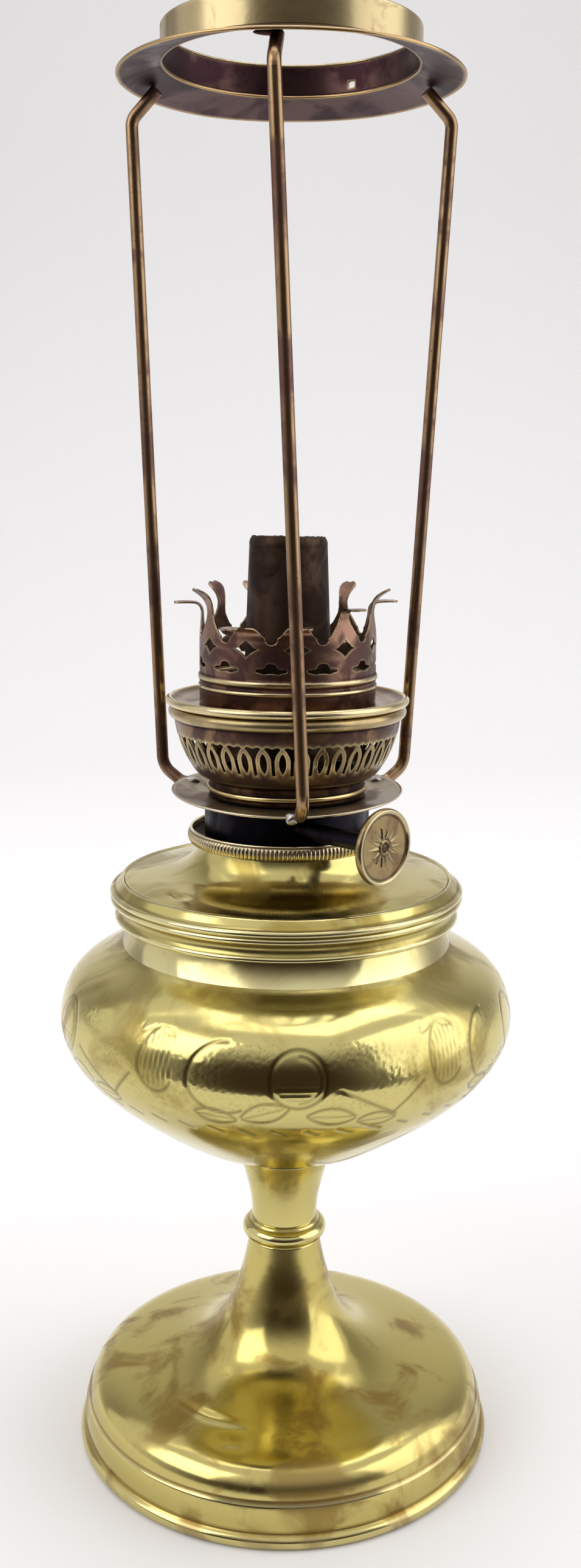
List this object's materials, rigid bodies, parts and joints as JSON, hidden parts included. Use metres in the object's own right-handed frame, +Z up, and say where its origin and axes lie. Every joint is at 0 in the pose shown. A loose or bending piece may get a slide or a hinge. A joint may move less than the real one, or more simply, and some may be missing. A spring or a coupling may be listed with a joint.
{
  "type": "pedestal paraffin table lamp",
  "caption": "Brass pedestal paraffin table lamp: round tank on a stemmed foot, round-wick burner with side winder, petal chimney gallery and a wire tripod with a shade ring.",
  "frame": {"origin": "centre of the foot's rim, on the surface the lamp stands on", "axes": "+Z up along the lamp's axis, front towards -Y, +X to the right seen from the front"},
  "size_m": [0.1426, 0.1426, 0.4359],
  "materials": {
    "brass": "polished, aged",
    "burner_brass": "tarnished",
    "tube_brass": "heat-blackened",
    "knob_brass": "worn, embossed",
    "tinned_brass": "dull, grey",
    "rod_bronze": "brown patina",
    "shade_brass": "dark patina",
    "steel": "plain",
    "cotton": "woven"
  },
  "bodies": {
    "lamp": {"foot_shell": "brass", "tie_washer": "steel", "tie_nut": "steel", "tie_rod": "steel", "stem_bead": "brass", "upper_stem": "brass", "joint_ring": "brass", "tank_body": "brass", "tank_rim": "brass", "tank_top_plate": "brass", "tank_collar": "burner_brass"},
    "burner": {"burner_cup": "burner_brass", "burner_pot": "burner_brass", "base_plate": "burner_brass", "air_deck": "burner_brass", "flame_tube": "tube_brass", "draught_tube": "tube_brass", "winder_housing": "burner_brass", "winder_bracket": "burner_brass"},
    "winder": {"winder_shaft": "steel", "wick_wheel_inner": "burner_brass", "wick_wheel_outer": "burner_brass", "winder_knob": "knob_brass"},
    "wick_body": {"wick": "cotton"},
    "gallery": {"basket": "burner_brass", "gallery_disc": "burner_brass", "crown": "burner_brass"},
    "tripod": {"saucer": "tinned_brass", "leg_left": "rod_bronze", "leg_front": "rod_bronze", "leg_right": "rod_bronze", "shade_flange": "shade_brass", "shade_collar": "brass"}
  },
  "joints": [
    {"name": "burner_lift", "type": "slide", "parent": "lamp", "child": "burner", "axis": [0, 0, 1], "range_m": [0, 0.11]},
    {"name": "winder_turn", "type": "hinge", "parent": "burner", "child": "winder", "pos_m": [-0.00973, -0.01007, 0.2089], "axis": [0.7193, -0.6947, 0], "range_deg": [-177.4, 106.4]},
    {"name": "wick_lift", "type": "slide", "parent": "burner", "child": "wick_body", "axis": [0, 0, 1], "range_m": [-0.0102, 0.0062]},
    {"name": "gallery_lift", "type": "slide", "parent": "burner", "child": "gallery", "axis": [0, 0, 1], "range_m": [0, 0.04]},
    {"name": "tripod_turn", "type": "hinge", "parent": "burner", "child": "tripod", "pos_m": [0, 0, 0.2141], "axis": [0, 0, 1], "continuous": true}
  ],
  "couplings": [
    {"joint": "wick_lift", "follows": "winder_turn", "m_per_rad": 0.00323}
  ]
}
